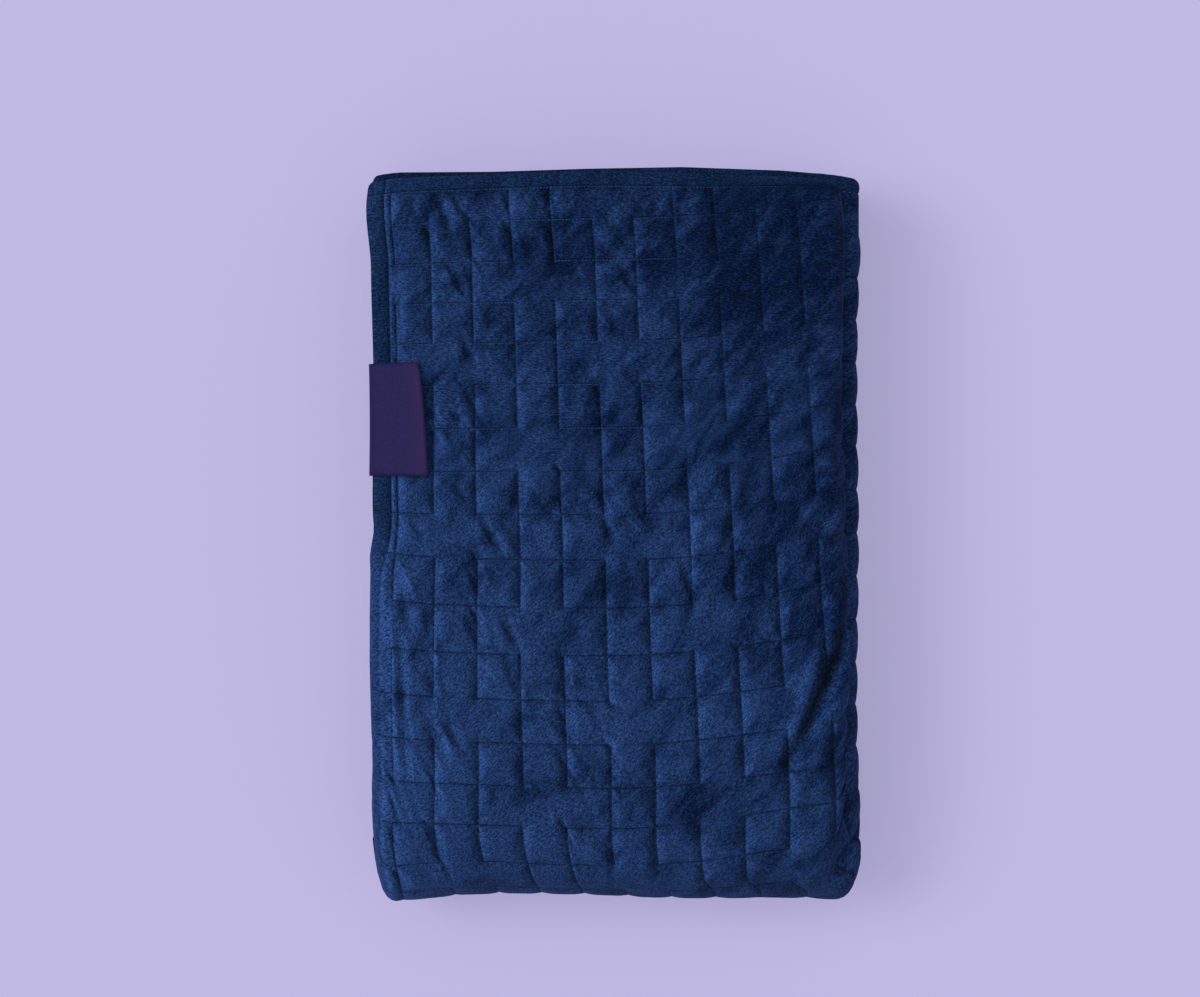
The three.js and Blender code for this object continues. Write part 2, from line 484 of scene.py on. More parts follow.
@dataclass(frozen=True)
class Slip:
    """How the cloth of the top layer lies against the neat fold, as it was pulled and smoothed."""

    plan: FoldPlan
    quilting: Quilting
    last_fine: float
    drawn_together: float = -0.053
    back_spread: float = 0.058
    back_spreading: Ramp = Ramp(0, 260)
    front_spread: float = 0.045
    front_spreading: Ramp = Ramp(250, 450)
    first_column: float = -3.6
    rolled_first_column: float = -7.6
    second_column: float = -8.1
    front_curl: float = 12.0
    curl_front: Ramp = Ramp(420, 500)
    curl_across: Band = Band(0, 45, 60, 420)
    loose_across: Ramp = Ramp(300, 430, 1, 0)
    loose_along: Ramp = Ramp(560, 700, 1, 0)
    row_gather: float = 6.3
    gathered: Band = Band(10, 140, 225, 320)
    row_ease: float = 1.4
    eased: Band = Band(290, 340, 395, 430)
    right_rise: float = 7.0
    rise_start: float = 155.0
    rise_end: float = 330.0
    rise_reach: float = 107.0
    rise_at_back: float = 1.05
    rise_added: float = 0.10
    rise_length: float = 300.0
    left_rise: float = 7.0
    left_reach: float = 35.0
    left_risen: Band = Band(200, 260, 400, 450)
    risen: Band = Band(0, 26, 540, 800)
    fold_away: Ramp = Ramp(340, 520, 1, 0)
    pulled_down: float = 2.6
    pulled: Band = Band(5, 26, 380, 440)
    rolled_hem: float = 12.0
    tucked_hem: float = 13.0
    tuck_width: float = 70.0
    roll_band: Band = Band(222, 272, 500, 600)
    roll_power: float = 0.6
    roll_radius: float = 10.0
    roll_start: float = 8.0
    roll_flatness: float = 0.85
    rolled_width: float = 100.0

    def rolled(self, v: Numbers) -> Numbers:
        """How far the left edge has rolled under, from 0 to 1, down the length."""
        return self.roll_band.of(v)

    def across(self, u: Numbers, v: Numbers) -> Numbers:
        """Finds how far along the width line each spot of the sheet lies.

        Args:
            u: distances across the flat sheet from the left hem.
            v: distances along it from the back hem.

        Returns:
            Distances along the width line.
        """
        total = self.plan.width_line().length
        first, square = self.quilting.first_column, self.quilting.square
        rolled = self.rolled(v)
        at_hem = -self.rolled_hem * rolled**2
        at_first = self.first_column + (self.rolled_first_column - self.first_column) * rolled
        spread = self.drawn_together + self.back_spread * self.back_spreading.of(v)
        spread = spread + self.front_spread * self.front_spreading.of(v)
        slip = at_hem + (at_first - at_hem) * np.clip(u / first, 0, 1)
        slip = slip + (self.second_column - at_first) * np.clip((u - first) / square, 0, 1)
        slip = slip + spread * np.maximum(u - first - square, 0)
        slip = slip + self.front_curl * self.curl_front.of(v) * self.curl_across.of(u)
        slip = slip * self.loose_across.of(u) * self.loose_along.of(v)
        tucked = self.tucked_hem * rolled * Ramp(total - self.tuck_width, total).of(u)
        return u + slip - tucked

    def along(self, u: Numbers, v: Numbers) -> Numbers:
        """Finds how far along the length line each spot of the sheet lies.

        The line runs through the middle of the strip, so cloth on the outside of the front fold
        uses more of its own length to get round it.

        Args:
            u: distances across the flat sheet from the left hem.
            v: distances along it from the back hem.

        Returns:
            Distances along the length line.
        """
        lines = self.plan.length_line()
        fold, total = lines.stretches[0].length, lines.length
        turn = 1.5 * self.plan.strip_pitch
        past = fold + (self.last_fine - fold) * turn / (turn + 1.5 * self.plan.layer_pitch)
        even = np.interp(v, [0, fold, self.last_fine, total], [0, fold, past, total])
        gather = self.row_ease * self.eased.of(v) - self.row_gather * self.gathered.of(v)
        right = np.clip((np.minimum(u, self.rise_end) - self.rise_start) / self.rise_reach, 0, None) ** 2
        growth = self.rise_at_back + self.rise_added * np.clip(v / self.rise_length, 0, 1)
        rise = self.right_rise * right * growth
        rise = rise + self.left_rise * np.exp(-u / self.left_reach) * self.left_risen.of(v)
        down = self.pulled_down * self.pulled.of(v) * self.loose_across.of(u)
        return even + down + (gather - rise * self.risen.of(v)) * self.fold_away.of(u)


@dataclass(frozen=True)
class Pattern:
    """A pattern of smooth noise about zero, over the upper face.

    Attributes:
        size: its size across and along the face.
        layer: where the noise is cut, as patterns from one layer would be alike.
        slant: how far it slants to the left for each millimetre along the face.
        climb: how far it climbs to the back for each millimetre across the face.
    """

    size: tuple[float, float]
    layer: float
    slant: float = 0.0
    climb: float = 0.0

    def of(self, x: Numbers, y: Numbers) -> Numbers:
        """Looks the pattern up at places from the left side and from the back."""
        across, along = (x + self.slant * y) / self.size[0], (y + self.climb * x) / self.size[1]
        places = zip(across.tolist(), along.tolist())
        return np.array([noise.noise(Vector((*place, self.layer))) for place in places])


@dataclass(frozen=True)
class Rumples:
    """Soft lumps and slanting crumples all over the upper face."""

    lump_height: float = 1.1
    lumps: Pattern = Pattern((33.0, 45.0), 4.0)
    dent_height: float = 0.5
    dents: Pattern = Pattern((8.0, 13.0), 9.0, 0.4, -13 / 33)
    crumple_depth: float = 1.3
    crumple_edge: float = 0.1
    left_crumples: Pattern = Pattern((13.0, 42.0), 6.0, -0.4)
    right_crumples: Pattern = Pattern((13.0, 38.0), 7.0, 0.55)
    right_part: Ramp = Ramp(120, 210)
    patches: Pattern = Pattern((55.0, 60.0), 2.0)
    patch_edges: Ramp = Ramp(-0.1, 0.25)

    def height(self, x: Numbers, y: Numbers) -> Numbers:
        """Finds how far the rumples lift the cloth.

        Args:
            x: distances from the left side.
            y: distances from the back.

        Returns:
            The lift at each place.
        """
        lifted = self.lump_height * self.lumps.of(x, y) + self.dent_height * self.dents.of(x, y)
        right = self.right_part.of(x)
        crumples = (1 - right) * self.left_crumples.of(x, y) + right * self.right_crumples.of(x, y)
        depth = self.crumple_depth * self.patch_edges.of(self.patches.of(x, y))
        return lifted - depth * np.exp(-((crumples / self.crumple_edge) ** 2))


@dataclass(frozen=True)
class PaintedNapShading:
    """Weights for painted shade and highlight on the nap, from how each turn of the face meets a light at
    the left and front.
    """

    across: float = 0.9
    along: float = 0.3
    quiet: float = 0.4
    quiet_back: Ramp = Ramp(120, 260, 1, 0)
    quiet_right: Ramp = Ramp(160, 240)
    rolled: float = 0.45
    rolled_width: float = 22.0
    by_hem_highlight: float = 0.45
    by_hem_centre: float = 21.0
    by_hem_width: float = 7.0
    by_hem_band: Band = Band(25, 70, 150, 230)
    side_hem: float = 0.5
    side_hem_width: float = 11.0
    side_hem_start: Ramp = Ramp(15, 60)

    def against(
        self, u: Numbers, v: Numbers, slopes: tuple[Numbers, Numbers], rolled: Numbers
    ) -> Numbers:
        """Adds up the turns of the face into painted shade and highlight.

        Args:
            u: distances across the flat sheet, in a row.
            v: distances along it, in a column.
            slopes: slopes of the face across and along the sheet.
            rolled: how far the left edge has rolled under at each place along.

        Returns:
            The lean, above zero where the face turns to the left or to the front and is painted lighter.
        """
        quiet = 1 - self.quiet * self.quiet_back.of(v) * self.quiet_right.of(u)
        # Faces turned to the left or front get painted light, faces turned away get painted shade.
        found = self.across * quiet * slopes[0] - self.along * slopes[1]
        # Painted highlight on the left edge where it has rolled under and turns to the light.
        found = found + self.rolled * rolled * np.exp(-u / self.rolled_width)
        # Painted highlight on the strip beside the left hem.
        beside_hem = np.exp(-(((u - self.by_hem_centre) / self.by_hem_width) ** 2))
        found = found + self.by_hem_highlight * self.by_hem_band.of(v) * beside_hem
        # Painted shade on the side hem where it turns down, away from the light.
        turned_down_shade = (1 - rolled) * self.side_hem_start.of(v) * np.exp(-((u / self.side_hem_width) ** 4))
        return found - self.side_hem * turned_down_shade


# ---- Meshes -------------------------------------------------------------------------------------


@dataclass(frozen=True)
class Ring:
    """Points round the section of the cloth, on the flat sheet and round its edge.

    Attributes:
        u: distance across the flat sheet.
        lift: share of half the thickness to go along the normal.
        reach: share of it to go outwards past the hem.
    """

    u: Numbers
    lift: Numbers
    reach: Numbers

    @staticmethod
    def around(outer_side: list[float], inner_side: list[float], hem_steps: int = 5) -> "Ring":
        """Makes a ring from the places on both sides, with round hems between them."""
        turn = [math.pi * (i + 1) / (hem_steps + 1) for i in range(hem_steps)]
        last, first = outer_side[-1], outer_side[0]
        u = [*outer_side, *[last] * hem_steps, *reversed(inner_side), *[first] * hem_steps]
        lift = [
            *[1.0] * len(outer_side),
            *[math.cos(angle) for angle in turn],
            *[-1.0] * len(inner_side),
            *[-math.cos(angle) for angle in turn],
        ]
        reach = [
            *[0.0] * len(outer_side),
            *[math.sin(angle) for angle in turn],
            *[0.0] * len(inner_side),
            *[-math.sin(angle) for angle in turn],
        ]
        return Ring(np.array(u), np.array(lift), np.array(reach))

    @property
    def size(self) -> int:
        """How many points the ring has."""
        return len(self.u)

    def shares(self) -> Numbers:
        """Places of the ring's points from 0 to 1 round it, alike for rings of different sizes."""
        total = self.u.max()
        around = np.where(self.lift > 0, self.u, 2 * total - self.u)
        around = np.where(self.reach > 0, total, around)
        start = self.reach < 0
        around[start] = 2 * total
        order = np.arange(self.size) * 1e-6
        return around / (2 * total) + order / self.size


def strip_faces(first: int, size: int) -> list[tuple]:
    """Joins two closed rings of one size with squares.

    Args:
        first: index of the first ring's first point; the second ring follows the first.
        size: how many points each ring has.

    Returns:
        The squares, as indices of points.
    """
    turned = [(i, (i + 1) % size) for i in range(size)]
    return [(first + i, first + size + i, first + size + after, first + after) for i, after in turned]


def bridge(first: int, first_shares: Numbers, second: int, second_shares: Numbers) -> list[tuple]:
    """Joins two closed rings of points with triangles.

    Args:
        first: index of the first ring's first point.
        first_shares: where its points are round it, from 0 to 1.
        second: index of the second ring's first point.
        second_shares: where its points are.

    Returns:
        The triangles, as indices of points.
    """
    faces = []
    i, j, m, n = 0, 0, len(first_shares), len(second_shares)
    while i < m or j < n:
        next_first = first_shares[i + 1] if i + 1 < m else 1.0 + (i + 1 - m)
        next_second = second_shares[j + 1] if j + 1 < n else 1.0 + (j + 1 - n)
        a, b = first + i % m, second + j % n
        if j >= n or (i < m and next_first <= next_second):
            faces.append((a, b, first + (i + 1) % m))
            i += 1
        else:
            faces.append((a, b, second + (j + 1) % n))
            j += 1
    return faces


def make_mesh(
    name: str, points: Numbers, faces: list[tuple], flat: Numbers, shading: Numbers | None = None
) -> bpy.types.Object:
    """Makes a smooth object at the origin from points in metres.

    Args:
        name: the piece's name.
        points: one row for each point.
        faces: faces as indices of points.
        flat: the map coordinates of each point.
        shading: for the finish's painted shade and highlight, how far creases lift each point, and how
            much its face turns to the light.

    Returns:
        The new object.
    """
    mesh = bpy.data.meshes.new(name)
    mesh.from_pydata(points.tolist(), [], faces)
    mesh.validate()
    layer = mesh.uv_layers.new(name="flat")
    corners = np.zeros(len(mesh.loops), np.int32)
    mesh.loops.foreach_get("vertex_index", corners)
    layer.data.foreach_set("uv", flat[corners].astype(np.float32).ravel())
    for index, attribute in enumerate(("relief", "leaning") if shading is not None else ()):
        values = shading[:, index].astype(np.float32)
        mesh.attributes.new(attribute, "FLOAT", "POINT").data.foreach_set("value", values)
    mesh.shade_smooth()
    mesh.update()
    piece = bpy.data.objects.new(name, mesh)
    bpy.context.scene.collection.objects.link(piece)
    return piece


@dataclass
class QuiltedSheet:
    """The blanket's one sheet of quilted plush, folded."""

    plan: FoldPlan
    quilting: Quilting = field(default_factory=Quilting)
    half_cloth: float = 3.1
    groove_depth: float = 1.0
    groove_width: float = 1.2
    puff_height: float = 1.9
    puff_width: float = 5.0
    side_hem: float = 11.5
    end_hem: float = 9.0
    hem_bulge: float = 0.7
    topstitch_depth: float = 1.5
    edge_rounding: float = 3.2
    rumples: Rumples = field(default_factory=Rumples)
    painted_nap_shading: PaintedNapShading = field(default_factory=PaintedNapShading)
    line_width: float = 1.2
    hem_share: float = 0.85
    panel_edge: tuple[float, float] = (-0.5, 3.0)
    fold_view: float = 0.6
    thinnest_edge: float = 0.04
    covered_puff: float = 0.2
    covered_groove: float = 0.3
    covered_stitch: float = 0.4
    rolled_stitch: float = 0.2
    hem_relief: float = 0.3
    fold_puff: float = 0.35
    front_face: Ramp = Ramp(445, 490, 1, 0.25)
    top_strip: Ramp = Ramp(500, 560, 1, 0)
    creased: Ramp = Ramp(500, 555, 1, 0)
    last_fine_column: int = 12
    last_fine_row: int = 18
    last_quilted: float = 540.0
    last_open: tuple[float, float] = (345.0, 560.0)
    hem_places: tuple[float, ...] = (0, 0.8, 2, 4, 6.5, 9, 10.6, 11.5, 12.4, 13.8, 15.4, 16.3)
    end_places: tuple[float, ...] = (
        0, 0.4, 1, 1.9, 3.2, 5, 7, 8.2, 9, 9.8, 11.5, 14, 17.5, 21, 24.5, 26.5, 27.4,
    )
    tail_gaps: tuple[float, ...] = (5, 3.2, 1.9, 1, 0.4, 0)
    fine_shares: tuple[float, ...] = (
        0, 0.035, 0.08, 0.16, 0.25, 0.34, 0.44, 0.56, 0.66, 0.75, 0.84, 0.92, 0.965,
    )
    coarse_shares: tuple[float, ...] = (0, 0.09, 0.36, 0.64, 0.91)
    widest_bent: float = 5.0
    bent_steps: int = 3

    def __post_init__(self) -> None:
        """Works out the lines that the cloth follows."""
        self.shift = np.zeros(3)
        square = self.quilting.square
        self.slip = Slip(self.plan, self.quilting, self.quilting.first_row + square * self.last_fine_row)
        self.settling = Settling(self.plan)
        self.width_line = self.plan.width_line()
        self.length_line = self.plan.length_line()

    # Where the mesh has its points, on the flat sheet.

    def _fine(self, first: float, lines: int) -> list[float]:
        """Places across the squares that are seen best, closest together beside each line."""
        square = self.quilting.square
        return [first + square * (line + share) for line in range(lines) for share in self.fine_shares]

    @staticmethod
    def _runs(stops: list[tuple[float, int]]) -> list[float]:
        """Evenly spaced places between stops, each with its number of steps from the one before."""
        places = [stops[0][0]]
        for (low, _), (high, steps) in zip(stops, stops[1:]):
            places += [low + (high - low) * (i + 1) / steps for i in range(steps)]
        return places

    def _hidden_across(self) -> list[float]:
        """Places in the three layers under the top one, close together round their folds."""
        turn_1, left_0, left_1, right_0, right_1, hem = self.width_line.ends[1:]
        seam = hem - self.side_hem
        stops = [
            (turn_1 + 30, 0), (left_0 - 12, 4), (left_0, 2), (left_1, 5), (left_1 + 12, 2),
            (right_0 - 8, 4), (right_0, 1), (right_1, 5), (right_1 + 8, 1), (hem - 24, 4),
            (seam - 2, 1), (seam, 1), (seam + 2, 1), (hem - 3, 2), (hem, 2),
        ]
        return self._runs(stops)

    def fine_ring(self) -> Ring:
        """The ring with close points over the top layer."""
        panel = self._fine(self.quilting.first_column, self.last_fine_column)
        return Ring.around([*self.hem_places, *panel, *self._hidden_across()], self._inner_side())

    def coarse_ring(self) -> Ring:
        """The ring for the lower strips, whose upper faces are covered."""
        fold, past = self.width_line.ends[:2]
        stops = [(0, 0), (6, 3), (14, 3), (fold - 10, 5), (fold, 2), (past, 14)]
        return Ring.around([*self._runs(stops), *self._hidden_across()], self._inner_side())

    def _inner_side(self) -> list[float]:
        """Places on the side of the cloth that faces into the folds."""
        fold, past = self.width_line.ends[:2]
        return [*self._runs([(0, 0), (3, 1), (14, 2), (fold, 5), (past, 7)]), *self._hidden_across()]

    def stations(self) -> tuple[list[float], list[float]]:
        """Places along the sheet: those for the fine ring, and then those for the coarse one."""
        first, square, total = self.quilting.first_row, self.quilting.square, self.length_line.length
        fine = [*self.end_places, *self._fine(first, self.last_fine_row)]
        seam = total - self.end_hem
        coarse = []
        row = self.last_fine_row
        while first + square * (row + 1) < seam:
            coarse += [first + square * (row + share) for share in self.coarse_shares]
            row += 1
        coarse = self._closer_round_folds([*coarse, first + square * row])
        tail = [seam - 1, seam, seam + 1, *[total - gap for gap in self.tail_gaps]]
        return fine, [*[place for place in coarse if place < seam - 2], *tail]

    def _closer_round_folds(self, places: list[float]) -> list[float]:
        """Splits the wide gaps between places where the lower strips fold over."""
        ends = self.length_line.ends
        closer = [places[0]]
        for low, high in zip(places, places[1:]):
            bent = any(start < high and low < end for start, end in (ends[2:4], ends[4:6]))
            steps = self.bent_steps if bent and high - low > self.widest_bent else 1
            closer += [low + (high - low) * (i + 1) / steps for i in range(steps)]
        return closer

    # The shape of the cloth's surface.

    def seen(self, u: Numbers, v: Numbers) -> Numbers:
        """How far a spot's outer side is open to view, from 0 to 1, where puffs may stand out."""
        fold, past = self.width_line.ends[:2]
        upper = self.front_face.of(v) * self.top_strip.of(v)
        upper = upper * Ramp(fold + self.fold_view * (past - fold), past, 1, 0).of(u)
        round_fold = np.clip((u - fold) / (past - fold), 0, 1)
        return np.maximum(upper, np.sin(math.pi * round_fold) ** 2 * self.fold_puff)

    def outer_height(self, u: Numbers, v: Numbers, relief: Numbers) -> Numbers:
        """Finds the height of the outer side over the middle of the cloth.

        Args:
            u: distances across the flat sheet.
            v: distances along it.
            relief: how far creases and lumps lift the cloth.

        Returns:
            The heights.
        """
        last_column = self.quilting.first_column + self.quilting.square * self.last_fine_column
        fine = (u < last_column) & (v < self.last_quilted)
        distance = np.where(fine, self.quilting.distance(u, v), self.quilting.row_distance(v))
        seen = self.seen(u, v)
        puff = self.puff_height * (1 - np.exp(-((distance / self.puff_width) ** 2)))
        groove = self.groove_depth * np.exp(-distance / self.groove_width)
        panel, lines, bulge = 1.0, 0.0, 0.0
        hems = ((u, self.width_line.length, self.side_hem), (v, self.length_line.length, self.end_hem))
        for place, total, hem in hems:
            gap = np.minimum(place, total - place)
            panel = panel * Ramp(hem + self.panel_edge[0], hem + self.panel_edge[1]).of(gap)
            lines = np.maximum(lines, np.exp(-np.abs(gap - hem) / self.line_width))
            bulge = np.maximum(bulge, np.sin(math.pi * np.clip(gap / hem, 0, 1)))
        puff = puff * (self.covered_puff + (1 - self.covered_puff) * seen)
        groove = groove * (self.covered_groove + (1 - self.covered_groove) * seen)
        stitched = self.topstitch_depth * lines * (self.covered_stitch + (1 - self.covered_stitch) * seen)
        hidden = self.slip.rolled(v) * (u < self.slip.rolled_width)
        height = self.half_cloth + panel * (puff - groove)
        height = height - stitched * (1 - (1 - self.rolled_stitch) * hidden)
        height = height + self.hem_bulge * bulge * (1 - panel) * seen
        return height + (self.hem_relief + (1 - self.hem_relief) * panel) * relief

    def relief(self, u: Numbers, v: Numbers, x: Numbers, y: Numbers) -> Numbers:
        """Adds up the creases and the soft lumps of the face that lies open to view.

        Args:
            u: distances across the flat sheet.
            v: distances along it.
            x: distances along the width line.
            y: distances along the length line.

        Returns:
            How far they lift the cloth.
        """
        x = x + self.plan.cloth / 2
        lying_x = x + self.settling.lean(x, self.plan.length - y)
        lifted = sum((crease.height(lying_x, y) for crease in UPPER_FACE_CREASES), np.zeros_like(x))
        lifted = lifted + self.rumples.height(x, y)
        return lifted * self.seen(u, v) * self.creased.of(v)

    def leaning(self, ring: Ring, stations: list[float], outer: Numbers) -> Numbers:
        """Finds how much the outer face leans towards the light at each point, for the finish's painted
        shade and highlight.

        Args:
            ring: the ring of points.
            stations: places along the flat sheet.
            outer: height of the outer side at each point.

        Returns:
            The lean, above zero where the face turns to the left or to the front and is painted lighter.
        """
        count = int((ring.lift == 1.0).sum())
        heights = outer.reshape(len(stations), ring.size)[:, :count]
        found = np.zeros((len(stations), ring.size))
        u, v = ring.u[:count], np.array(stations)[:, None]
        slopes = (np.gradient(heights, u, axis=1), np.gradient(heights, stations, axis=0))
        found[:, :count] = self.painted_nap_shading.against(u, v, slopes, self.slip.rolled(v))
        return found.ravel()

    def edge_share(self, v: Numbers) -> Numbers:
        """Rounds the cloth off towards its back hems."""
        gap = np.minimum(v, self.length_line.length - v) / self.edge_rounding
        return np.sqrt(1 - (1 - np.clip(gap, self.thinnest_edge, 1)) ** 2)

    def points(self, ring: Ring, stations: list[float]) -> tuple[Numbers, Numbers, Numbers]:
        """Works out where the ring's points lie at each station.

        Args:
            ring: the ring of points.
            stations: places along the flat sheet.

        Returns:
            The points in the settled pile, their places on the flat sheet in squares, and for the
            finish's painted shade and highlight, how far creases lift them and how much the face there
            turns to the light.
        """
        u = np.tile(ring.u, len(stations))
        lift, reach = np.tile(ring.lift, len(stations)), np.tile(ring.reach, len(stations))
        v = np.repeat(np.array(stations, float), ring.size)
        x = self.slip.across(u, v)
        y = self.slip.along(u, v)
        relief = np.zeros_like(u)
        open_side = (lift > 0) & (u < self.last_open[0]) & (v < self.last_open[1])
        relief[open_side] = self.relief(u[open_side], v[open_side], x[open_side], y[open_side])
        outer = self.outer_height(u, v, relief)
        # Painted shade and highlight from the slopes of the outer face, kept for the finish.
        slope_shades = self.leaning(ring, stations, outer)
        half = np.where(lift > 0, outer, self.half_cloth)
        half = np.where(np.abs(reach) > 0, self.half_cloth * self.hem_share, half) * self.edge_share(v)
        across, level, normal_x, normal_n = self._roll_left_edge(self.width_line.at(x), x, u, v)
        across = across + half * (lift * normal_x + reach * normal_n)
        level = level + half * (lift * normal_n - reach * normal_x)
        along, height, normal_y, normal_z = self.length_line.at(y)
        placed = self.settling.move(across, along + level * normal_y, height + level * normal_z)
        shading = np.stack([relief, slope_shades], axis=1)
        return np.stack(placed, axis=1), np.stack(self.quilting.cells(u, v), axis=1), shading

    def _roll_left_edge(
        self, section: tuple[Numbers, ...], x: Numbers, u: Numbers, v: Numbers
    ) -> tuple[Numbers, ...]:
        """Bends the top layer down over its left edge where the hem has rolled under.

        Args:
            section: the places in the section of a strip, and the normals there.
            x: distances along the width line.
            u: distances across the flat sheet.
            v: distances along it.

        Returns:
            The places and the normals, bent.
        """
        across, level, normal_x, normal_n = section
        slip = self.slip
        rolled = slip.rolled(v) ** slip.roll_power * (u < slip.rolled_width)
        gap = np.maximum(slip.roll_start - x, 0)
        angle = rolled * gap / slip.roll_radius
        safe = np.maximum(rolled, 1e-6) / slip.roll_radius
        bent = (rolled > 1e-3) & (gap > 0)
        start = self.plan.cloth / 2 + slip.roll_start
        across = np.where(bent, start - np.sin(angle) / safe, across)
        level = np.where(bent, level - slip.roll_flatness * (1 - np.cos(angle)) / safe, level)
        normal_x = np.where(bent, -np.sin(angle), normal_x)
        normal_n = np.where(bent, np.cos(angle), normal_n)
        return across, level, normal_x, normal_n

    def build(self) -> bpy.types.Object:
        """Makes the folded sheet.

        Returns:
            The piece, centred over the origin as the frame is.
        """
        fine, coarse = self.fine_ring(), self.coarse_ring()
        fine_stations, coarse_stations = self.stations()
        parts = [self.points(fine, fine_stations), self.points(coarse, coarse_stations)]
        points = np.concatenate([part[0] for part in parts])
        flat = np.concatenate([part[1] for part in parts])
        shading = np.concatenate([part[2] for part in parts])
        faces: list[tuple] = []
        begin = 0
        for ring, stations in ((fine, fine_stations), (coarse, coarse_stations)):
            for station in range(len(stations) - 1):
                faces += strip_faces(begin + station * ring.size, ring.size)
            begin += len(stations) * ring.size
        joint = (len(fine_stations) - 1) * fine.size
        faces += bridge(joint, fine.shares(), joint + fine.size, coarse.shares())
        faces += self._close(fine, 0, False)
        faces += self._close(coarse, len(points) - coarse.size, True)
        low, high = points.min(0), points.max(0)
        want = (cad_box[0] + cad_box[1]) / 2 / METRES
        self.shift = np.array([want.x - (low[0] + high[0]) / 2, want.y - (low[1] + high[1]) / 2, -low[2]])
        return make_mesh("quilted_blanket", (points + self.shift) * METRES, faces, flat, shading)

    @staticmethod
    def _close(ring: Ring, first: int, far: bool) -> list[tuple]:
        """Closes the end of the sheet across its section."""
        faces = []
        top, bottom = 0, ring.size - 1
        while top < bottom - 1:
            ahead_top = ring.u[top + 1] + 1e-4 * (top + 1)
            ahead_bottom = ring.u[bottom - 1] + 1e-4 * (ring.size - bottom)
            if ahead_top <= ahead_bottom:
                face = (first + top, first + top + 1, first + bottom)
                top += 1
            else:
                face = (first + top, first + bottom - 1, first + bottom)
                bottom -= 1
            faces.append(face[::-1] if far else face)
        return faces


# ---- Materials ----------------------------------------------------------------------------------


@dataclass(frozen=True)
class Bump:
    """How strong the bumps of a finish are, and how high in metres."""

    strength: float
    distance: float


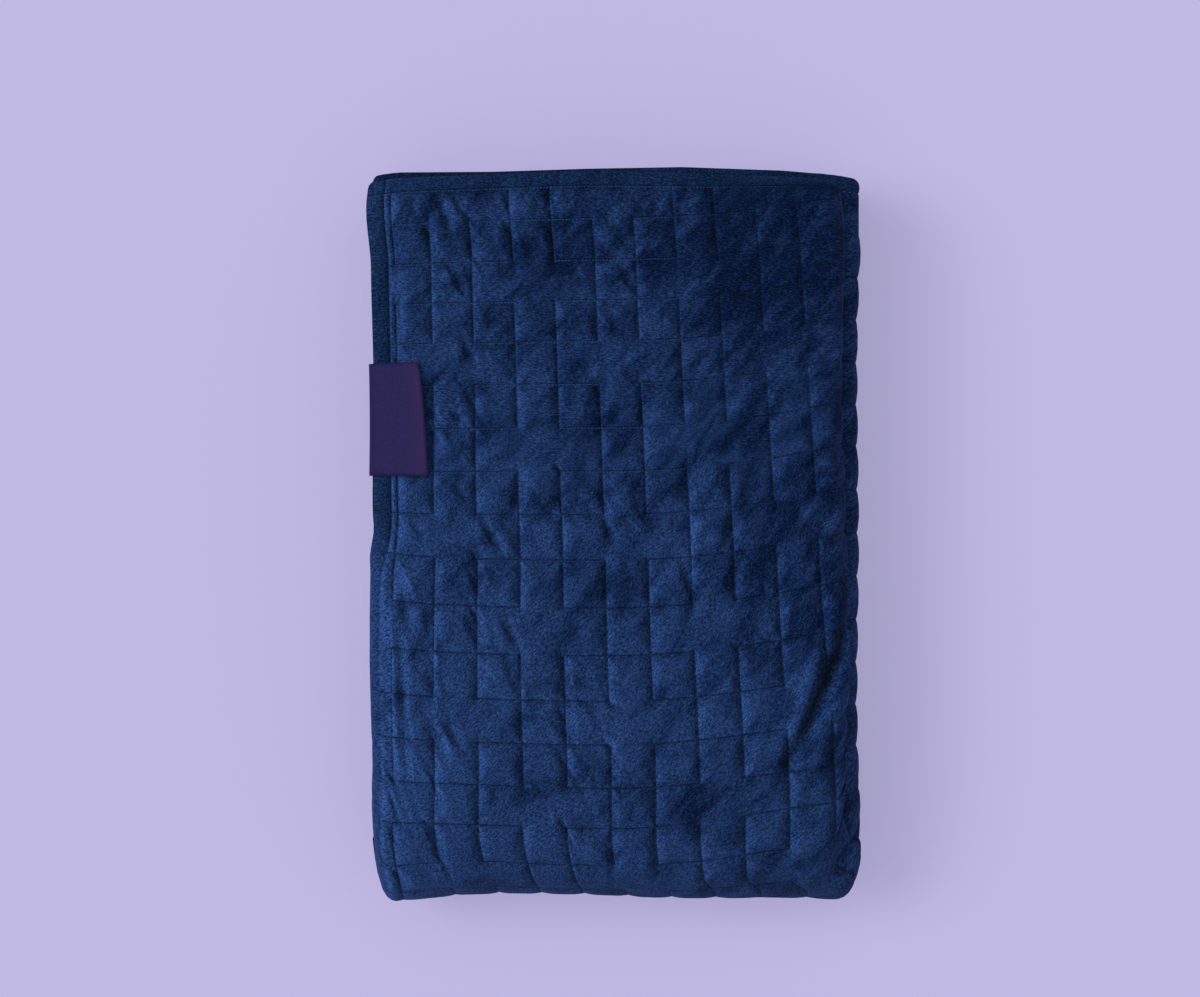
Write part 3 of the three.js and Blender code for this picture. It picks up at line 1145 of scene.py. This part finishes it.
class Bench:
    """Puts nodes into a tree and joins them."""

    def __init__(self, tree: bpy.types.NodeTree) -> None:
        """Takes the tree to work in."""
        self.tree = tree

    def node(self, kind: str, inputs: dict | None = None, **settings: object) -> bpy.types.Node:
        """Adds a node.

        Args:
            kind: the node's type name.
            inputs: values or sockets for its inputs, by name or number.
            settings: the node's own settings.

        Returns:
            The node.
        """
        made = self.tree.nodes.new(kind)
        for name, value in settings.items():
            setattr(made, name, value)
        for key, value in (inputs or {}).items():
            if isinstance(value, bpy.types.NodeSocket):
                self.tree.links.new(value, made.inputs[key])
            else:
                made.inputs[key].default_value = value
        return made

    def math(self, operation: str, *values: object) -> bpy.types.NodeSocket:
        """Adds a Math node and returns its result."""
        return self.node("ShaderNodeMath", dict(enumerate(values)), operation=operation).outputs[0]

    def times(self, first: object, second: object) -> object:
        """Multiplies two values and returns the result."""
        return self.math("MULTIPLY", first, second)

    def plus(self, value: object, weight: object, base: object) -> object:
        """Adds a weighted value to a base and returns the result."""
        return self.math("MULTIPLY_ADD", value, weight, base)

    def less(self, value: object, taken: object) -> object:
        """Takes one value from another and returns the result."""
        return self.math("SUBTRACT", value, taken)

    def split(self, place: object) -> tuple[object, object]:
        """Returns the first two coordinates of a place."""
        outputs = self.node("ShaderNodeSeparateXYZ", {0: place}).outputs
        return outputs[0], outputs[1]

    def attribute(self, name: str) -> object:
        """Returns the value that the mesh holds under a name."""
        return self.node("ShaderNodeAttribute", attribute_name=name).outputs["Fac"]

    def ramp(self, value: object, ramp: Ramp) -> object:
        """Looks a value up on a ramp with a Map Range node and returns the result."""
        inputs = {"Value": value, "From Min": ramp.low, "From Max": ramp.high}
        inputs |= {"To Min": ramp.at_low, "To Max": ramp.at_high}
        return self.node("ShaderNodeMapRange", inputs, interpolation_type="SMOOTHSTEP").outputs[0]

    def mix(self, share: object, first: object, second: object, blend: str = "MIX") -> object:
        """Mixes two colours and returns the result."""
        made = self.node("ShaderNodeMix", {"Factor": share}, data_type="RGBA", blend_type=blend)
        for slot, value in ((6, first), (7, second)):
            if isinstance(value, bpy.types.NodeSocket):
                self.tree.links.new(value, made.inputs[slot])
            else:
                made.inputs[slot].default_value = (*value, 1.0)
        return made.outputs[2]

    def noise(self, place: object, detail: float, roughness: float = 0.5, twist: float = 0.0) -> object:
        """Adds a noise texture one unit in size and returns its value."""
        inputs = {"Vector": place, "Scale": 1.0, "Detail": detail}
        inputs |= {"Roughness": roughness, "Distortion": twist}
        return self.node("ShaderNodeTexNoise", inputs).outputs["Fac"]

    def sized(self, place: object, long: float, short: float, turn: float = 0.0) -> object:
        """Turns coordinates, and counts them in a pattern's own length and width.

        Args:
            place: the coordinates.
            long: size of the pattern along its direction.
            short: its size across.
            turn: its direction, in degrees.

        Returns:
            The new coordinates.
        """
        inputs = {"Vector": place, "Scale": (long, short, short)}
        inputs["Rotation"] = (0.0, 0.0, math.radians(turn))
        return self.node("ShaderNodeMapping", inputs, vector_type="TEXTURE").outputs[0]

    def shaded(self, colour: object, value: object) -> object:
        """Multiplies a colour by a value and returns the result."""
        grey = self.node("ShaderNodeCombineXYZ", {0: value, 1: value, 2: value}).outputs[0]
        return self.mix(1.0, colour, grey, "MULTIPLY")

    def fibres(self, place: object) -> object:
        """Adds the group for lying fibres at a place and returns their height."""
        return self.node("ShaderNodeGroup", {"Place": place}, node_tree=fibre_group()).outputs[0]

    def cloth_shader(
        self, colour: object, roughness: float, height: object, bump: Bump
    ) -> bpy.types.Node:
        """Ends a material with a bumped Principled shader.

        Args:
            colour: its colour.
            roughness: its roughness.
            height: the height of the bumps.
            bump: how strong they are.

        Returns:
            The shader's node.
        """
        inputs = {"Height": height, "Strength": bump.strength, "Distance": bump.distance}
        normal = self.node("ShaderNodeBump", inputs).outputs[0]
        inputs = {"Base Color": colour, "Roughness": roughness, "Normal": normal}
        shader = self.node("ShaderNodeBsdfPrincipled", inputs)
        self.node("ShaderNodeOutputMaterial", {"Surface": shader.outputs[0]})
        return shader


def new_group(name: str, inputs: dict[str, str], outputs: dict[str, str]) -> tuple:
    """Starts a shader node group.

    Args:
        name: the group's name.
        inputs: kinds of its input sockets by name.
        outputs: kinds of its output sockets by name.

    Returns:
        The group, a bench to fill it on, its input node and its output node.
    """
    group = bpy.data.node_groups.new(name, "ShaderNodeTree")
    for label, kind in inputs.items():
        group.interface.new_socket(name=label, in_out="INPUT", socket_type=kind)
    for label, kind in outputs.items():
        group.interface.new_socket(name=label, in_out="OUTPUT", socket_type=kind)
    bench = Bench(group)
    return group, bench, bench.node("NodeGroupInput"), bench.node("NodeGroupOutput")


def new_material(name: str) -> tuple[bpy.types.Material, Bench]:
    """Starts an empty material and returns it with a bench to fill it on."""
    material = bpy.data.materials.new(name)
    material.use_nodes = True
    material.node_tree.nodes.clear()
    return material, Bench(material.node_tree)


def fibre_group() -> bpy.types.NodeTree:
    """Makes, or finds, the group for fine fibres that lie one way.

    Returns:
        The group, which gives their height, from 0 to 1, from a place counted in their own sizes.
    """
    name, coarse_share, fine_size, spread = "lying_fibres", 0.6, 0.45, Ramp(0.34, 0.66)
    if name in bpy.data.node_groups:
        return bpy.data.node_groups[name]
    sockets = ({"Place": "NodeSocketVector"}, {"Height": "NodeSocketFloat"})
    group, bench, given, result = new_group(name, *sockets)
    place = given.outputs["Place"]
    bent = bench.noise(place, 2.0, 0.6, 0.5)
    fine = bench.noise(bench.sized(place, fine_size, fine_size), 1.0)
    height = bench.plus(fine, 1 - coarse_share, bench.times(bent, coarse_share))
    bench.tree.links.new(bench.ramp(height, spread), result.inputs["Height"])
    return group


class Lie(Enum):
    """Ways the nap's fibres lie: the size of their streaks along and across, and their direction."""

    CROSSWISE = (2.6, 0.95, 4.0)
    SLANTWISE = (2.1, 1.0, -45.0)


@dataclass(frozen=True)
class Marks:
    """Marks of brushing in the nap, all of one size.

    Attributes:
        weight: how much they count.
        size: their length, their width, and their direction in degrees.
        noise: the detail, the roughness and the twist of their noise.
    """

    weight: float
    size: tuple[float, float, float]
    noise: tuple[float, float, float]


class Brushing(Enum):
    """The marks of brushing, from the strokes to the widest patches and the finest marks."""

    STROKES = Marks(1.1, (26, 11, -50), (3.0, 0.55, 0.3))
    WIDE = Marks(0.9, (75, 50, -30), (2.0, 0.5, 0.0))
    FINE = Marks(0.28, (9, 4, -40), (2.0, 0.5, 0.0))


@dataclass(frozen=True)
class SeamLook:
    """How a stitched seam looks, in millimetres beside it and in shares of one stitch along it."""

    groove: Ramp = Ramp(0.2, 0.85, 0.75, 0)
    stitch_side: float = 0.6
    stitch_edge: Ramp = Ramp(0.2, 0.65, 0.9, 0)
    stitch_end: Ramp = Ramp(0.2, 0.42, 1, 0)
    groove_end: Ramp = Ramp(0.25, 0.5, 1.0, 0.45)
    stitch: float = 28 / 12

    def masks(self, bench: Bench, aside: object, along: object, shine: object) -> tuple:
        """Masks for one seam: the narrow groove, and the stitches that catch the light at its far side.

        Args:
            bench: where to put the nodes.
            aside: distance past the seam, in millimetres.
            along: place along it, in millimetres.
            shine: how much the stitches show.

        Returns:
            The masks of the groove and of the stitches.
        """
        groove = bench.ramp(bench.math("ABSOLUTE", aside), self.groove)
        lit = bench.ramp(bench.math("ABSOLUTE", bench.less(aside, self.stitch_side)), self.stitch_edge)
        counted = bench.math("FRACT", bench.times(along, 1 / self.stitch))
        middle = bench.math("ABSOLUTE", bench.less(counted, 0.5))
        groove = bench.times(groove, bench.ramp(middle, self.groove_end))
        return groove, bench.times(bench.times(lit, bench.ramp(middle, self.stitch_end)), shine)


@dataclass(frozen=True)
class Seams:
    """The quilting and the topstitching, as masks. Its ramps run over squares of the flat sheet."""

    quilting: Quilting
    flat_size: tuple[float, float]
    hems: tuple[float, float]
    look: SeamLook = SeamLook()
    right_part: Ramp = Ramp(4.5, 9.5)
    right_fading: Ramp = Ramp(3.0, 9.0, 1, 0)
    right_faintness: float = 0.35
    right_dullness: float = 0.8
    shine: Ramp = Ramp(3.0, 10.0, 0.9, 0.12)
    column_shine: float = 0.6
    row_groove: Ramp = Ramp(3.0, 10.0, 0.85, 1.0)
    hem_shine: float = 0.9
    hem_edge: float = 0.6
    roll_begins: Ramp = Ramp(7.2, 8.6)
    roll_ends: Ramp = Ramp(17.0, 20.0, 1, 0)
    rolled_part: Ramp = Ramp(2.0, 2.5, 1, 0)
    uneven_size: float = 0.11
    uneven_groove: Ramp = Ramp(0.3, 0.6, 0.55, 1.0)
    uneven_thread: Ramp = Ramp(0.35, 0.6, 0.35, 1.0)

    def group(self) -> bpy.types.NodeTree:
        """Makes the group, which takes the flat place in squares."""
        outputs = {"Groove": "NodeSocketFloat", "Thread": "NodeSocketFloat", "Hem": "NodeSocketFloat"}
        group, bench, given, result = new_group("quilt_seams", {"Flat": "NodeSocketVector"}, outputs)
        across, along = bench.split(given.outputs["Flat"])
        at_right = bench.times(bench.ramp(across, self.right_part), bench.ramp(along, self.right_fading))
        clear = bench.plus(at_right, -self.right_faintness, 1.0)
        shine = bench.plus(at_right, -self.right_dullness, bench.ramp(along, self.shine))
        columns = self._line(bench, across, along, bench.times(shine, self.column_shine))
        rows = self._line(bench, along, across, shine)
        hem, grooves, lit_threads = self._hems(bench, across, along)
        panel = bench.less(1.0, hem)
        sunk = bench.times(rows[0], bench.ramp(along, self.row_groove))
        grooves.append(bench.times(bench.math("MAXIMUM", bench.times(columns[0], clear), sunk), panel))
        lit_threads.append(bench.times(bench.math("MAXIMUM", columns[1], rows[1]), panel))
        uneven = bench.noise(bench.sized(given.outputs["Flat"], self.uneven_size, self.uneven_size), 1.0)
        groove = bench.times(self._most(bench, grooves), bench.ramp(uneven, self.uneven_groove))
        thread = bench.times(self._most(bench, lit_threads), bench.ramp(uneven, self.uneven_thread))
        for label, value in (("Groove", groove), ("Thread", thread), ("Hem", hem)):
            bench.tree.links.new(value, result.inputs[label])
        return group

    @staticmethod
    def _most(bench: Bench, values: list) -> object:
        """Returns the highest of some values."""
        return functools.reduce(lambda one, other: bench.math("MAXIMUM", one, other), values)

    def _hems(self, bench: Bench, across: object, along: object) -> tuple[object, list, list]:
        """Masks for the hems and their topstitching, left out where the left edge is rolled under.

        Args:
            bench: where to put the nodes.
            across: place across the sheet, in squares.
            along: place along it, in squares.

        Returns:
            The mask of the hems, and the masks of the grooves and of the stitches beside them.
        """
        under = bench.times(bench.ramp(along, self.roll_begins), bench.ramp(along, self.roll_ends))
        under = bench.times(under, bench.ramp(across, self.rolled_part))
        shown = bench.less(1.0, under)
        firsts = (self.quilting.first_column, self.quilting.first_row)
        bands, grooves, lit_threads = [], [], []
        sides = zip((across, along), (along, across), firsts, self.hems, self.flat_size)
        for over, beside, first, hem, size in sides:
            place = bench.plus(over, self.quilting.square, first)
            gap = bench.math("MINIMUM", place, bench.less(size, place))
            edge = Ramp(hem - self.hem_edge, hem + self.hem_edge, 1, 0)
            bands.append(bench.times(bench.ramp(gap, edge), shown))
            beside = bench.times(beside, self.quilting.square)
            masks = self.look.masks(bench, bench.less(gap, hem), beside, self.hem_shine)
            grooves.append(bench.times(masks[0], shown))
            lit_threads.append(bench.times(masks[1], shown))
        return self._most(bench, bands), grooves, lit_threads

    def _line(self, bench: Bench, across: object, along: object, shine: object) -> tuple:
        """Masks for the seams that run along one way, without their left-out edges.

        Args:
            bench: where to put the nodes.
            across: place across the seams, in squares.
            along: place along them, in squares.
            shine: how much their stitches show.

        Returns:
            The masks of the groove and of the stitches in it.
        """
        repeat, square = float(self.quilting.repeat), self.quilting.square
        line = bench.math("ROUND", across)
        aside = bench.times(bench.less(across, line), square)
        row = bench.math("FLOORED_MODULO", bench.math("FLOOR", along), repeat)
        turn = bench.math("FLOORED_MODULO", line, repeat)
        # Of each four lines, 1 and 2 border the cross in row 3, and 0 and 3 the one in row 1.
        middle = bench.math("COMPARE", turn, 1.5, 0.6)
        left_out = bench.times(bench.math("COMPARE", row, 1.0, 0.1), bench.less(1.0, middle))
        also = bench.times(bench.math("COMPARE", row, 3.0, 0.1), middle)
        kept = bench.less(1.0, bench.math("ADD", left_out, also))
        groove, thread = self.look.masks(bench, aside, bench.times(along, square), shine)
        return bench.times(groove, kept), bench.times(thread, kept)


@dataclass(frozen=True)
class PlushFinish:
    """Brushed navy plush, quilted with tonal thread, with painted shade and highlights on its creases,
    slopes, grooves and fibre tips.
    """

    seams: Seams
    light: Colour = (0.0150, 0.0425, 0.1400)
    dark: Colour = (0.0014, 0.0078, 0.0370)
    # Colour of the painted glints on the fibre tips.
    tip_glint: Colour = (0.044, 0.088, 0.220)
    hem: Colour = (0.0045, 0.0190, 0.0620)
    shade: Colour = (0.0012, 0.0030, 0.0110)
    # Colour of the thread, lightened as a painted highlight where it catches the light.
    thread: Colour = (0.031, 0.084, 0.235)
    # Painted shade in crease troughs and painted highlight on ridges, then painted shade and highlight by
    # how the face turns to the light.
    trough_shade: Ramp = Ramp(-5.0, 0.0, 0.25, 1.0)
    ridge_highlight: Ramp = Ramp(0, 1.5, 1, 1.25)
    leaning_away_shade: Ramp = Ramp(-0.6, 0.0, 0.44, 1.0)
    leaning_near_highlight: Ramp = Ramp(0, 0.6, 1, 1.75)
    nap_levels: Ramp = Ramp(0.70, 1.38)
    # Painted light and shade over the whole face: darker to the right, lighter to the front, darker in
    # the back right corner.
    rightward_shade: float = -0.028
    front_painted_light: float = 0.22
    front_painted_light_part: Ramp = Ramp(-1.0, 16.0)
    corner_shade: float = -0.06
    corner_shade_across: Ramp = Ramp(2.0, 8.0)
    corner_shade_along: Ramp = Ramp(0, 3.0, 1, 0)
    fibre_contrast: Ramp = Ramp(0, 1, 0.38, 1.75)
    fibre_tip_glints: Ramp = Ramp(0.55, 1.0)
    tip_glint_share: float = 0.14
    hem_share: float = 0.6
    stray_size: float = 45.0
    stray_weight: float = 6.0
    slanting: Ramp = Ramp(7.0, 9.5)
    clump_size: tuple[float, float, float] = (5.0, 2.6, -45)
    clump_height: float = 0.5
    fibre_height: float = 0.6
    groove_height: float = -0.7
    bump: Bump = Bump(0.6, 0.001)
    roughness: float = 0.9
    specular: float = 0.05
    sheen: tuple[float, float] = (0.04, 0.35)
    sheen_tint: Colour = (0.35, 0.5, 0.9)

    def material(self) -> bpy.types.Material:
        """Makes the material."""
        material, bench = new_material("navy_plush")
        flat = bench.node("ShaderNodeUVMap", uv_map="flat").outputs[0]
        scale = {0: flat, "Scale": self.seams.quilting.square}
        cloth = bench.node("ShaderNodeVectorMath", scale, operation="SCALE").outputs[0]
        seams = bench.node("ShaderNodeGroup", {"Flat": flat}, node_tree=self.seams.group()).outputs
        fibres = self._fibres(bench, flat, cloth)
        relief, leaning = bench.attribute("relief"), bench.attribute("leaning")
        # Painted shade in crease troughs and on faces turned away from the light; painted highlight on
        # ridges and on faces turned to it.
        depth = bench.times(bench.ramp(relief, self.trough_shade), bench.ramp(relief, self.ridge_highlight))
        lean = bench.times(bench.ramp(leaning, self.leaning_away_shade), bench.ramp(leaning, self.leaning_near_highlight))
        colour = bench.shaded(self._nap_with_painted_light(bench, flat, cloth), bench.times(depth, lean))
        colour = bench.mix(bench.times(seams["Hem"], self.hem_share), colour, self.hem)
        colour = bench.shaded(colour, bench.ramp(fibres, self.fibre_contrast))
        # Painted glints on the tips of the fibres.
        tip_glints = bench.times(bench.ramp(fibres, self.fibre_tip_glints), self.tip_glint_share)
        colour = bench.mix(tip_glints, colour, self.tip_glint)
        # Painted shade in the stitched grooves, and the thread with a painted highlight on the grooves'
        # lit side.
        colour = bench.mix(seams["Groove"], colour, self.shade)
        colour = bench.mix(seams["Thread"], colour, self.thread)
        clumps = bench.noise(bench.sized(cloth, *self.clump_size), 2.0)
        height = bench.plus(clumps, self.clump_height, bench.times(fibres, self.fibre_height))
        height = bench.plus(seams["Groove"], self.groove_height, height)
        shader = bench.cloth_shader(colour, self.roughness, height, self.bump)
        shader.inputs["Specular IOR Level"].default_value = self.specular
        shader.inputs["Sheen Weight"].default_value = self.sheen[0]
        shader.inputs["Sheen Roughness"].default_value = self.sheen[1]
        shader.inputs["Sheen Tint"].default_value = (*self.sheen_tint, 1.0)
        return material

    def _fibres(self, bench: Bench, flat: object, cloth: object) -> object:
        """Lays the fibres crosswise near the back and slantwise near the front.

        Args:
            bench: where to put the nodes.
            flat: the flat place in squares.
            cloth: the flat place in millimetres.

        Returns:
            The height of the fibres.
        """
        crosswise, slantwise = (bench.fibres(bench.sized(cloth, *lie.value)) for lie in Lie)
        stray = bench.noise(bench.sized(cloth, self.stray_size, self.stray_size), 1.0)
        share = bench.ramp(bench.plus(stray, self.stray_weight, bench.split(flat)[1]), self.slanting)
        return bench.plus(slantwise, share, bench.times(crosswise, bench.less(1.0, share)))

    def _nap_with_painted_light(self, bench: Bench, flat: object, cloth: object) -> object:
        """Mixes the light and dark of the brushed nap in random patches, with painted light towards the
        front and painted shade towards the right and in the back right corner.

        Args:
            bench: where to put the nodes.
            flat: the flat place in squares.
            cloth: the flat place in millimetres.

        Returns:
            The colour.
        """
        across, along = bench.split(flat)
        level = 0.0
        for marks in (brushing.value for brushing in Brushing):
            patches = bench.noise(bench.sized(cloth, *marks.size), *marks.noise)
            level = bench.plus(patches, marks.weight, level)
        # Painted shade towards the right, painted light towards the front, and painted shade in the back
        # right corner.
        level = bench.plus(across, self.rightward_shade, level)
        level = bench.plus(bench.ramp(along, self.front_painted_light_part), self.front_painted_light, level)
        corner = bench.times(bench.ramp(across, self.corner_shade_across), bench.ramp(along, self.corner_shade_along))
        level = bench.plus(corner, self.corner_shade, level)
        return bench.mix(bench.ramp(level, self.nap_levels), self.dark, self.light)


@dataclass(frozen=True)
class LabelFinish:
    """Dark purple woven satin, blank."""

    body: Colour = (0.0175, 0.0125, 0.0810)
    end: Colour = (0.0260, 0.0140, 0.0790)
    rib: float = 0.9
    pick: float = 0.5
    pick_share: float = 0.4
    end_part: Ramp = Ramp(28.0, 40.0)
    fibre_size: tuple[float, float, float] = (2.5, 0.8, 45)
    weave_contrast: Ramp = Ramp(-1.4, 1.4, 0.82, 1.2)
    fibre_contrast: Ramp = Ramp(0, 1, 0.88, 1.12)
    fibre_height: float = 0.6
    bump: Bump = Bump(0.3, 0.0001)
    roughness: float = 0.6
    specular: float = 0.1

    def material(self) -> bpy.types.Material:
        """Makes the material."""
        material, bench = new_material("woven_label")
        flat = bench.node("ShaderNodeUVMap", uv_map="flat").outputs[0]
        across, along = bench.split(flat)
        ribs = bench.math("SINE", bench.times(bench.math("ADD", across, along), 2 * math.pi / self.rib))
        picks = bench.math("SINE", bench.times(along, 2 * math.pi / self.pick))
        weave = bench.plus(picks, self.pick_share, ribs)
        fibres = bench.fibres(bench.sized(flat, *self.fibre_size))
        colour = bench.mix(bench.ramp(across, self.end_part), self.body, self.end)
        colour = bench.shaded(colour, bench.ramp(weave, self.weave_contrast))
        colour = bench.shaded(colour, bench.ramp(fibres, self.fibre_contrast))
        height = bench.plus(fibres, self.fibre_height, weave)
        shader = bench.cloth_shader(colour, self.roughness, height, self.bump)
        shader.inputs["Specular IOR Level"].default_value = self.specular
        return material


# ---- The label ----------------------------------------------------------------------------------


@dataclass
class SideLabel:
    """The woven tab that comes out of the left hem and lies on the top layer."""

    sheet: QuiltedSheet
    centre: float = 313.0
    length: float = 74.0
    reach: float = 34.5
    back_reach: float = 31.0
    front_reach: float = 37.2
    thickness: float = 0.9
    gap: float = 1.1
    lift: float = 3.5
    root_angle: float = 195.0
    bow: float = 1.2
    reach_power: float = 0.6
    steps_along: int = 24
    steps_round: int = 8
    steps_out: int = 12

    def build(self) -> bpy.types.Object:
        """Makes the label, which stands where the built sheet does."""
        outer = self._section(self.sheet.plan.cloth / 2 + self.gap + self.thickness)
        inner = self._section(self.sheet.plan.cloth / 2 + self.gap)
        section = np.concatenate([outer, inner[::-1]])
        run = np.concatenate([[0], np.cumsum(np.hypot(*np.diff(outer[:, :2], axis=0).T))])
        run = np.concatenate([run, run[::-1]])
        rows, flats = [], []
        for step in range(self.steps_along + 1):
            share = step / self.steps_along
            bow = self.bow * math.sin(math.pi * share)
            reach = self.back_reach + (self.front_reach - self.back_reach) * share**self.reach_power
            x = section[:, 0] + (reach - self.reach) * section[:, 2]
            y = np.full(len(section), self.centre + (0.5 - share) * self.length)
            level = 3.5 * self.sheet.plan.strip_pitch + section[:, 1] + bow * section[:, 2] ** 2
            rows.append(np.stack(self.sheet.settling.move(x, y, level), axis=1))
            flats.append(np.stack([run, np.full(len(run), share * self.length)], axis=1))
        size = len(section)
        faces = [face for j in range(self.steps_along) for face in strip_faces(j * size, size)]
        last = self.steps_along * size
        for i in range(size // 2 - 1):
            faces.append((i, i + 1, size - 2 - i, size - 1 - i))
            faces.append((last + size - 1 - i, last + size - 2 - i, last + i + 1, last + i))
        points = np.concatenate(rows) + self.sheet.shift
        return make_mesh("woven_label", points * METRES, faces, np.concatenate(flats))

    def _section(self, radius: float) -> Numbers:
        """Points from the root, round the hem and out over the cloth.

        Args:
            radius: distance from the middle of the hem.

        Returns:
            For each point, x, height over the strip's middle, and its share of the reach.
        """
        centre_x, centre_n = self.sheet.plan.cloth / 2, 1.5 * self.sheet.plan.layer_pitch
        start, end = math.radians(self.root_angle), math.pi / 2
        turn = [start + (end - start) * i / self.steps_round for i in range(self.steps_round)]
        points = [(centre_x + radius * math.cos(a), centre_n + radius * math.sin(a), 0.0) for a in turn]
        for i in range(self.steps_out + 1):
            share = i / self.steps_out
            x = centre_x + share * (self.reach - centre_x)
            points.append((x, centre_n + radius + self.lift * share**2, share))
        return np.array(points)


# ---- The studio ---------------------------------------------------------------------------------


class Lamp(Enum):
    """The lights, each with four numbers.

    They are its angle from straight up, its compass side from the right turning left, how wide it
    looks from the floor, all in degrees, and its strength.
    """

    KEY = (36, 168, 30, 1.25)
    OVERHEAD = (4, 180, 70, 0.95)


@dataclass
class Studio:
    """The floor, the lights and the camera."""

    floor_colour: Colour = (0.252, 0.232, 0.376)
    floor_glow: Colour = (0.286, 0.264, 0.427)
    floor_size: float = 6.0
    floor_roughness: float = 0.9
    light_colour: Colour = (1.0, 1.0, 1.0)
    surround: float = 0.30
    view_width: float = 0.7716
    lens: float = 135.0
    sensor: float = 36.0
    off_centre: tuple[float, float] = (-0.0112, 0.0245)

    def floor(self) -> bpy.types.Object:
        """Lays the plain floor, of a paper lit a little from behind, as shadows on it are faint."""
        bpy.ops.mesh.primitive_plane_add(size=self.floor_size, location=(0, 0, 0))
        ground = bpy.context.object
        ground.name = "floor"
        material, bench = new_material("floor_paper")
        paper = {"Base Color": (*self.floor_colour, 1.0), "Roughness": self.floor_roughness}
        paper |= {"Emission Color": (*self.floor_glow, 1.0), "Emission Strength": 1.0}
        shader = bench.node("ShaderNodeBsdfPrincipled", paper)
        bench.node("ShaderNodeOutputMaterial", {"Surface": shader.outputs[0]})
        ground.data.materials.append(material)
        ground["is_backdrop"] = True
        return ground

    def light(self, lamp: Lamp) -> None:
        """Hangs a wide soft light far away, so that it lights the floor evenly."""
        data = bpy.data.lights.new(lamp.name.lower(), "SUN")
        from_above, towards, spread, power = lamp.value
        data.angle, data.energy, data.color = math.radians(spread), power, self.light_colour
        tilt, side = math.radians(from_above), math.radians(towards)
        outward = math.sin(tilt)
        source = Vector((outward * math.cos(side), outward * math.sin(side), math.cos(tilt)))
        hung = bpy.data.objects.new(data.name, data)
        hung.location = 2 * source
        hung.rotation_euler = (-source).to_track_quat("-Z", "Y").to_euler()
        bpy.context.scene.collection.objects.link(hung)

    def lights(self) -> None:
        """Sets a soft light from the left, a wide one overhead and a pale surround."""
        for lamp in Lamp:
            self.light(lamp)
        world = bpy.data.worlds.new("surround")
        world.use_nodes = True
        backdrop = world.node_tree.nodes["Background"]
        backdrop.inputs["Color"].default_value = (*self.light_colour, 1.0)
        backdrop.inputs["Strength"].default_value = self.surround
        bpy.context.scene.world = world

    def camera(self, top: float) -> None:
        """Hangs the camera straight over the blanket.

        Args:
            top: height of the blanket's upper face, in metres.
        """
        data = bpy.data.cameras.new("overhead")
        data.lens, data.sensor_width = self.lens, self.sensor
        hung = bpy.data.objects.new("overhead", data)
        away = self.view_width * self.lens / self.sensor
        hung.location = (*self.off_centre, top + away)
        bpy.context.scene.collection.objects.link(hung)
        bpy.context.scene.camera = hung


def main() -> None:
    """Builds the blanket, its label and the studio."""
    logging.basicConfig(level=logging.INFO)
    bpy.context.scene.view_settings.view_transform = "Standard"
    bpy.ops.object.select_all(action="DESELECT")
    plan = FoldPlan()
    sheet = QuiltedSheet(plan)
    flat_size = (sheet.width_line.length, sheet.length_line.length)

    blanket = sheet.build()
    seams = Seams(sheet.quilting, flat_size, (sheet.side_hem, sheet.end_hem))
    blanket.data.materials.append(PlushFinish(seams).material())
    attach(blanket, "root")
    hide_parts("blanket")
    log.info("blanket: %d faces", len(blanket.data.polygons))

    label = SideLabel(sheet).build()
    label.data.materials.append(LabelFinish().material())
    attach(label, "root")
    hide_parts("label")
    log.info("label: %d faces", len(label.data.polygons))

    studio = Studio()
    studio.floor()
    studio.lights()
    studio.camera(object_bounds()[1].z)


if __name__ == "__main__":
    main()
